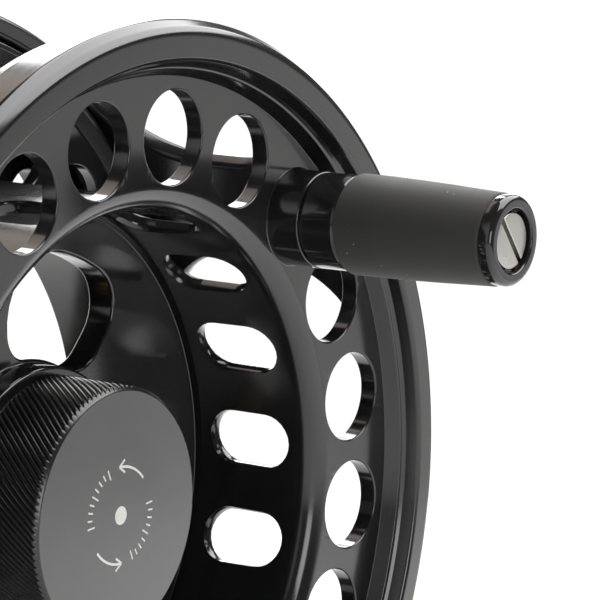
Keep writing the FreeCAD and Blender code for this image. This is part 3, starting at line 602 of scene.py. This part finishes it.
front = [plain_ring(R_CAP - 0.50, -2.603)] + [plain_ring(r, -2.6 + dome(r)) for r in (11.84, 11.2, 10.2, 9, 7.5, 6, 4.5, 3, 1.8, 0.6)]
inner = [plain_ring(0.6, -3.5), plain_ring(6.2, -3.5), plain_ring(6.2, -4.1), plain_ring(10.9, -4.1), plain_ring(10.9, -6.85), plain_ring(9.25, -6.85)]
allrings = back + rows + front
verts = [p for r in allrings for p in r]
faces = []
for i in range(len(allrings) - 1):
    for k in range(n):
        j = (k + 1) % n
        faces.append((i * n + k, i * n + j, (i + 1) * n + j, (i + 1) * n + k))
top = (len(allrings) - 1) * n
faces.append(tuple(range(top, top + n)))
k0 = len(verts)
verts += [p for r in inner for p in r]
for i in range(len(inner) - 1):
    for k in range(n):
        j = (k + 1) % n
        faces.append((k0 + i * n + k, k0 + i * n + j, k0 + (i + 1) * n + j, k0 + (i + 1) * n + k))
faces.append(tuple(range(k0, k0 + n)))
last = k0 + (len(inner) - 1) * n
for k in range(n):
    j = (k + 1) % n
    faces.append((last + k, last + j, j, k))
cap = new_object("release_cap_knurled", verts, faces)
shade(cap, 34)
paint(cap, M_CAPSIDE, M_CAPFACE)
for p in cap.data.polygons:
    c = p.center
    rr = math.hypot(c.x / MM, c.z / MM - AXIS_Z)
    if abs(p.normal.y) > 0.9 and FACE_Y - c.y / MM > -2.62:
        p.material_index = 1
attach(cap, "release_cap")
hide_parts("release_cap")


def flat_mark(outline, z0=-2.6, h=0.012):
    """A flat inlay with the given (x, y) outline on the cap's face."""
    n = len(outline)
    v = [W(x, y, z0 - 0.02 + dome(math.hypot(x, y))) for x, y in outline] + [W(x, y, z0 + h + dome(math.hypot(x, y))) for x, y in outline]
    f = [tuple(range(n))[::-1], tuple(range(n, 2 * n))]
    for k in range(n):
        j = (k + 1) % n
        f.append((k, j, n + j, n + k))
    return v, f


def arc_band(r, w, a0, a1, n=24):
    pts = [pol(r + w / 2, a0 + (a1 - a0) * k / n) for k in range(n + 1)]
    pts += [pol(r - w / 2, a1 - (a1 - a0) * k / n) for k in range(n + 1)]
    return pts


def stroke(p, q, w):
    p, q = Vector(p), Vector(q)
    d = (q - p).normalized()
    s = Vector((-d.y, d.x)) * w / 2
    return [tuple(p - s), tuple(q - s), tuple(q + s), tuple(p + s)]


marks = [flat_mark([pol(0.9, 360 * k / 40) for k in range(40)])]
for base in (0, 180):
    a0, a1 = 48 + base, 98 + base
    marks.append(flat_mark(arc_band(4.7, 0.24, a0, a1)))
    tip = Vector(pol(4.7, a1 + 1.5))
    tang = Vector((-math.sin(math.radians(a1)), math.cos(math.radians(a1))))
    rad = Vector((math.cos(math.radians(a1)), math.sin(math.radians(a1))))
    for s in (1, -1):
        marks.append(flat_mark(stroke(tip, tip - tang * 0.85 + rad * s * 0.62, 0.22), h=0.010 + 0.001 * s))
    # a plain scale of ticks between the arrows
    for i in range(9):
        a = 120 + base + 9.2 * i
        p, q = pol(4.35 - (0.35 if i % 4 == 0 else 0), a), pol(5.05, a)
        marks.append(flat_mark(stroke(p, q, 0.16)))
mk = merged("cap_marks", marks)
put(mk, "release_cap", "nickel", mat=M_MARK, weighted=False)

# ---------------------------------------------------------------- handle
HX, HY = HANDLE_C
collar = lathe("handle_core_turned", [
    (2.9, 3.86), (4.75, 3.86, 0.22), (4.75, 7.45, 0.12), (4.6, 7.8), (3.8, 7.8), (3.8, 24.1), (4.42, 24.1, 0.1), (4.42, 25.6, 0.62),
    (3.12, 25.6, 0.22), (3.12, 24.4), (2.9, 24.4)], 128, HX, HY, n=7)
put(collar, "handle", "black_anodised", "handle_core", mat=M_HANDLE)
grip = lathe("grip_sleeve_soft", [
    (3.82, 7.82), (4.99, 7.82, 0.26), (5.0, 9.0), (4.97, 11.5), (4.9, 14.5), (4.78, 18.0), (4.62, 21.6), (4.52, 24.08, 0.32), (3.82, 24.08)], 128, HX, HY, n=6)
put(grip, "handle", "grip_rubber", "grip_sleeve")
washer = lathe("handle_washer_turned", [(2.22, 3.6), (4.3, 3.6, 0.05), (4.3, 3.82, 0.05), (2.22, 3.82)], 96, HX, HY, n=2)
put(washer, "spool", "nickel", "handle_washer")
screw = lathe("handle_screw_slotted", [(0, 19.4), (1.2, 19.4), (1.2, 23.6), (2.74, 23.6), (2.74, 25.22, 0.14), (0, 25.22)], 96, HX, HY, n=4)
m = math.radians(-45)
d1, d2 = Vector((math.cos(m), math.sin(m))), Vector((-math.sin(m), math.cos(m)))
prof = [(-0.30, 24.5), (0.30, 24.5), (0.30, 25.14), (0.38, 25.23), (0.38, 26.0), (-0.38, 26.0), (-0.38, 25.23), (-0.30, 25.14)]
rings = [[W(HX + d1.x * s + d2.x * w, HY + d1.y * s + d2.y * w, z) for w, z in prof] for s in (-3.2, 3.2)]
cut(screw, merged("slot", [loft_data(rings)]))
put(screw, "spool", "nickel", "handle_screw")

# ---------------------------------------------------------------- frame billet
fr = lathe("frame_billet", [
    (3.02, -39.6), (47.5, -39.6, 0.7), (47.5, -4.8, 0.35), (46.2, -4.8, 0.15), (46.2, -2.7, 0.3), (45.4, -2.7, 0.3), (45.4, -36.6, 0.5), (3.02, -36.6)], SEG)
lots = []
WALL = (39.0, 141.0, 219.0, 270.0, 321.0)
HALF = {39.0: 6.5, 141.0: 6.5, 219.0: 6.5, 321.0: 6.5, 270.0: 9.5}
for i, a in enumerate(WALL):
    b2 = WALL[(i + 1) % 5]
    t0 = a + math.degrees(math.asin(HALF[a] / 47.5))
    t1 = (b2 if b2 > a else b2 + 360) - math.degrees(math.asin(HALF[b2] / 47.5))
    mid, half = math.radians((t0 + t1) / 2), math.radians(t1 - t0) / 2 * 46.45
    outl = rounded([(-half, -4.7, 10.4), (-half, -29.3, 10.2), (half, -29.3, 10.2), (half, -4.7, 10.4)], 16)
    # even spacing so that the long edges follow the cylinder
    dense = []
    for j, p in enumerate(outl):
        q = outl[(j + 1) % len(outl)]
        L = (q - p).length
        c = max(1, int(L / 1.5))
        dense += [tuple(p + (q - p) * s / c) for s in range(c)]
    rings = []
    for r, off in ((24.0, 0.55), (45.32, 0.55), (45.5, 0.3), (45.75, 0.1), (46.05, 0.0), (46.85, 0.0), (47.15, 0.1), (47.4, 0.32), (47.56, 0.55), (62.0, 0.55)):
        ring = []
        for s, z in offset(dense, off):
            w = mid + s / 46.45
            q = r if 40 < r < 60 else r / math.cos(s / 46.45)      # flat end caps
            ring.append(W(q * math.cos(w), q * math.sin(w), z))
        rings.append(ring)
    lots.append(loft_data(rings))
for k in range(6):
    base = kidney(19.0, 40.2, 22.5, (2.5, 2.5, 2.5, 2.5), 30 + 60 * k, n=30, c=9)
    lots.append(loft_data([[W(x, y, z) for x, y in offset(base, off)] for z, off in edge_flare(-39.6, -36.6, 0.5)]))
for k in range(3):
    x, y = pol(9.0, 120 * k)
    lots.append(lathe_data([(0, -41), (1.3, -41), (1.3, -35), (0, -35)], 32, x, y))
for k in range(4):
    x, y = pol(13.2, 45 + 90 * k)
    lots.append(lathe_data([(0, -41), (2.0, -41), (2.0, -38.4), (1.05, -38.4), (1.05, -35), (0, -35)], 32, x, y))
cut(fr, merged("frame_cutters", lots))
# pad for the foot


def block(x0, x1, y0, y1, a0, a1, r=0.8, n=4):
    """Box with its vertical edges (along the local y) rounded, as (verts, faces)."""
    ol = rounded([(x0, a0, r), (x1, a0, r), (x1, a1, r), (x0, a1, r)], n)
    return loft_data([[W(p.x, y, p.y) for p in ol] for y in (y0, y1)])


cut(fr, merged("pad", [block(-9.5, 9.5, -48.7, -45.9, -23.95, -10.55)]), "UNION")
put(fr, "frame", "frame_black", "frame_back", "frame_pillars", "frame_front_ring", "foot_pillar")

# ---------------------------------------------------------------- foot
L = 32.5
sections = []
xs = [-32.5, -32.3, -31.8, -31, -29.5, -27, -24, -20, -17, -15, -13.4, -12.2, -11.3, -10.75, -10.5]
xs = xs + [-9.9, -5, 0, 5, 9.9] + [-x for x in xs[::-1]]


def foot_top(x):
    x = abs(x)
    pts = [(0, 8.3), (9.9, 8.3), (10.5, 7.9), (10.75, 6.6), (11.3, 5.2), (12.2, 4.3), (13.4, 3.75), (15, 3.4), (17, 3.15), (20, 2.8), (24, 2.35), (27, 2.0), (29.5, 1.65),
           (31, 1.4), (31.8, 1.2), (32.3, 0.95), (32.5, 0.6)]
    for (a, b), (c, d) in zip(pts, pts[1:]):
        if a <= x <= c:
            return b + (d - b) * (x - a) / (c - a)
    return 0.6


def foot_half(x):
    x = abs(x)
    pts = [(0, 6.7), (15, 6.7), (20, 6.55), (24, 6.1), (27, 5.5), (29.5, 4.7), (31, 3.9), (31.8, 3.2), (32.3, 2.4), (32.5, 1.6)]
    for (a, b), (c, d) in zip(pts, pts[1:]):
        if a <= x <= c:
            return b + (d - b) * (x - a) / (c - a)
    return 1.6


for x in xs:
    h, t = foot_half(x), foot_top(x)
    e = min(0.9, 0.45 * t)
    ol = rounded([(-h, 0.0, min(0.35, e)), (h, 0.0, min(0.35, e)), (h, t, e), (-h, t, e)], 5)
    sections.append([Vector((x, p.x, p.y)) * MM for p in ol])
foot = merged("reel_foot_forged", [loft_data(sections)])
lots = []
for x in (-6.0, 6.0):
    pts = [(0, -1), (3.2, -1), (3.2, 0.0), (2.9, 0.3), (2.9, 2.4), (1.55, 2.4), (1.55, 9.5), (0, 9.5)]
    segs = 48
    rowsv, v, f = [], [], []
    for r, z in pts:
        if r == 0:
            rowsv.append([len(v)])
            v.append(Vector((x, 0, z)) * MM)
        else:
            rowsv.append(list(range(len(v), len(v) + segs)))
            v += [Vector((x + r * math.cos(2 * math.pi * k / segs), r * math.sin(2 * math.pi * k / segs), z)) * MM for k in range(segs)]
    for i in range(len(rowsv) - 1):
        p, q = rowsv[i], rowsv[i + 1]
        for k in range(segs):
            j = (k + 1) % segs
            if len(p) == 1:
                f.append((p[0], q[k], q[j]))
            elif len(q) == 1:
                f.append((p[k], q[0], p[j]))
            else:
                f.append((p[k], q[k], q[j], p[j]))
    lots.append((v, f))
cut(foot, merged("foot_cutters", lots))
put(foot, "frame", "frame_black", "reel_foot")

# ---------------------------------------------------------------- drag knob
FL = 24
PERF = 12


def knob_ring(r, a, depth):
    row = []
    n = FL * PERF
    for k in range(n):
        w = 2 * math.pi * k / n
        c = math.cos(w * FL)
        s = max(0.0, c) ** 1.4
        rr = r - depth * s
        row.append(W(rr * math.cos(w), rr * math.sin(w), a))
    return row


def knob_flat(r, a):
    n = FL * PERF
    return [W(r * math.cos(2 * math.pi * k / n), r * math.sin(2 * math.pi * k / n), a) for k in range(n)]


KR = 15.5
rings = [knob_flat(13.0, -47.4), knob_flat(13.0, -40.2), knob_ring(KR - 0.45, -40.2, 0.55), knob_ring(KR - 0.13, -40.33, 0.72), knob_ring(KR, -40.65, 0.8)]
rings += [knob_ring(KR, -40.65 - 8.45 * k / 6, 0.8) for k in range(1, 7)]
for k in range(1, 6):
    w = math.pi / 2 * k / 5
    rings.append(knob_ring(KR - 1.0 * (1 - math.cos(w)), -49.1 - 1.0 * math.sin(w), 0.8 - 0.16 * k))
rings += [knob_flat(13.4, -50.1), knob_flat(13.15, -50.02), knob_flat(12.9, -49.75), knob_flat(8.3, -49.75), knob_flat(8.05, -49.8), knob_flat(7.7, -50.1), knob_flat(7.5, -50.2), knob_flat(5.1, -50.2), knob_flat(4.85, -50.05),
          knob_flat(4.8, -49.0), knob_flat(3.05, -49.0), knob_flat(3.05, -47.4)]
nn = FL * PERF
verts = [p for r in rings for p in r]
faces = []
for i in range(len(rings)):
    i2 = (i + 1) % len(rings)
    for k in range(nn):
        j = (k + 1) % nn
        faces.append((i * nn + k, i * nn + j, i2 * nn + j, i2 * nn + k))
knob = new_object("drag_knob_fluted", verts, faces)
put(knob, "drag_knob", "frame_black", "drag_knob")
# a plain wedge scale and a dot on the knob's rear face
marks = []


def rear_mark(outline, z=-49.75, h=0.03):
    n = len(outline)
    v = [W(x, y, z + 0.05) for x, y in outline] + [W(x, y, z - h) for x, y in outline]
    f = [tuple(range(n))[::-1], tuple(range(n, 2 * n))]
    for k in range(n):
        j = (k + 1) % n
        f.append((k, j, n + j, n + k))
    return v, f


N = 36
wedge = [pol(10.6 + 0.1 + 0.9 * k / N, 20 + 250 * k / N) for k in range(N + 1)] + [pol(10.6 - 0.1 - 0.9 * k / N, 20 + 250 * k / N) for k in range(N, -1, -1)]
marks.append(rear_mark(wedge))
marks.append(rear_mark([(pol(10.6, 315)[0] + 0.7 * math.cos(w), pol(10.6, 315)[1] + 0.7 * math.sin(w)) for w in [2 * math.pi * k / 28 for k in range(28)]]))
km = merged("drag_scale", marks)
put(km, "drag_knob", "nickel", mat=M_MARK, weighted=False)

# ---------------------------------------------------------------- floor, light, camera
fm = bpy.data.materials.new("floor")
t, b = nt(fm)
tc = t.nodes.new("ShaderNodeTexCoord").outputs["Object"]
t.links.new(ramp(t, noise(t, tc, 3.0, 2.0), [(0.3, 0.80), (0.7, 0.84)]), b.inputs["Base Color"])
b.inputs["Roughness"].default_value = 0.9
b.inputs["Specular IOR Level"].default_value = 0.1
v = [(0.55 * math.cos(2 * math.pi * k / 96), 0.55 * math.sin(2 * math.pi * k / 96), -0.0003) for k in range(96)]
fme = bpy.data.meshes.new("floor")
fme.from_pydata(v, [], [tuple(range(96))])
floor = bpy.data.objects.new("floor", fme)
scene.collection.objects.link(floor)
floor.data.materials.append(fm)

world = bpy.data.worlds.new("studio")
scene.world = world
world.use_nodes = True
t = world.node_tree
t.nodes.clear()
wo = t.nodes.new("ShaderNodeOutputWorld")
bg = t.nodes.new("ShaderNodeBackground")
t.links.new(bg.outputs[0], wo.inputs[0])
gen = t.nodes.new("ShaderNodeTexCoord").outputs["Generated"]


def lobe(direction, lo_, hi_, value):
    d = t.nodes.new("ShaderNodeVectorMath")
    d.operation = "DOT_PRODUCT"
    t.links.new(gen, d.inputs[0])
    d.inputs[1].default_value = Vector(direction).normalized()
    n = t.nodes.new("ShaderNodeMapRange")
    n.interpolation_type = "SMOOTHSTEP"
    n.clamp = True
    for i, v in zip((1, 2, 3, 4), (lo_, hi_, 0.0, value)):
        n.inputs[i].default_value = v
    t.links.new(d.outputs["Value"], n.inputs[0])
    return n.outputs[0]


total = lobe((0, 0, 1), -1.0, -0.9, 0.11)
for args in (((0.50, 0.87, -0.02), 0.70, 0.88, 2.7),     # white backdrop
             ((0.84, -0.50, -0.20), 0.85, 0.97, 0.95),   # pale wall, front right
             ((-0.95, 0.25, 0.15), 0.8, 0.97, 0.8)):
    total = math_node(t, "ADD", total, lobe(*args))
lp = t.nodes.new("ShaderNodeLightPath")
mx = t.nodes.new("ShaderNodeMix")
mx.data_type = "FLOAT"
t.links.new(lp.outputs["Is Camera Ray"], mx.inputs["Factor"])
t.links.new(total, mx.inputs["A"])
mx.inputs["B"].default_value = 1.05
t.links.new(mx.outputs["Result"], bg.inputs["Strength"])
bg.inputs["Color"].default_value = (1.0, 0.995, 0.985, 1)


def area(name, where, at, size, power, colour=(1, 1, 1)):
    li = bpy.data.lights.new(name, "AREA")
    li.shape = "RECTANGLE"
    li.size, li.size_y = size
    li.energy = power
    li.color = colour
    o = bpy.data.objects.new(name, li)
    o.location = where
    o.rotation_mode = "QUATERNION"
    o.rotation_quaternion = (Vector(at) - Vector(where)).to_track_quat("-Z", "Y")
    scene.collection.objects.link(o)
    return o


def softbox(name, direction, size, radiance, dist=0.65, centre=(0, 0, 0.06), colour=(1, 1, 1)):
    c = Vector(centre)
    return area(name, c + Vector(direction).normalized() * dist, c, size, radiance * math.pi * size[0] * size[1], colour)


softbox("overhead", (0.44, -0.24, 0.86), (0.80, 0.66), 5.5)
softbox("top_back", (0.05, 0.60, 0.80), (0.40, 0.22), 1.5, colour=(1.0, 0.87, 0.78))
softbox("collar", (0.585, 0.56, 0.588), (0.20, 0.18), 12.0)
softbox("front_left", (-0.53, -0.80, 0.10), (0.26, 0.24), 4.5)

cam_data = bpy.data.cameras.new("camera")
cam = bpy.data.objects.new("camera", cam_data)
scene.collection.objects.link(cam)
cam_data.sensor_width = 36.0
cam_data.sensor_fit = "HORIZONTAL"
cam_data.lens = 3635.77 * 36.0 / 600.0
cam_data.clip_start, cam_data.clip_end = 0.02, 50
R = Vector((0.56382, -0.82136, 0.08644)).normalized()
Fw = Vector((0.82590, 0.56072, -0.05901)).normalized()
U = R.cross(Fw).normalized()
m = Matrix((R, U, -Fw)).transposed().to_4x4()
m.translation = Vector((-0.27610, -0.22083, 0.09929))
cam.matrix_world = m
scene.camera = cam
scene.view_settings.view_transform = "Standard"
scene.view_settings.look = "None"
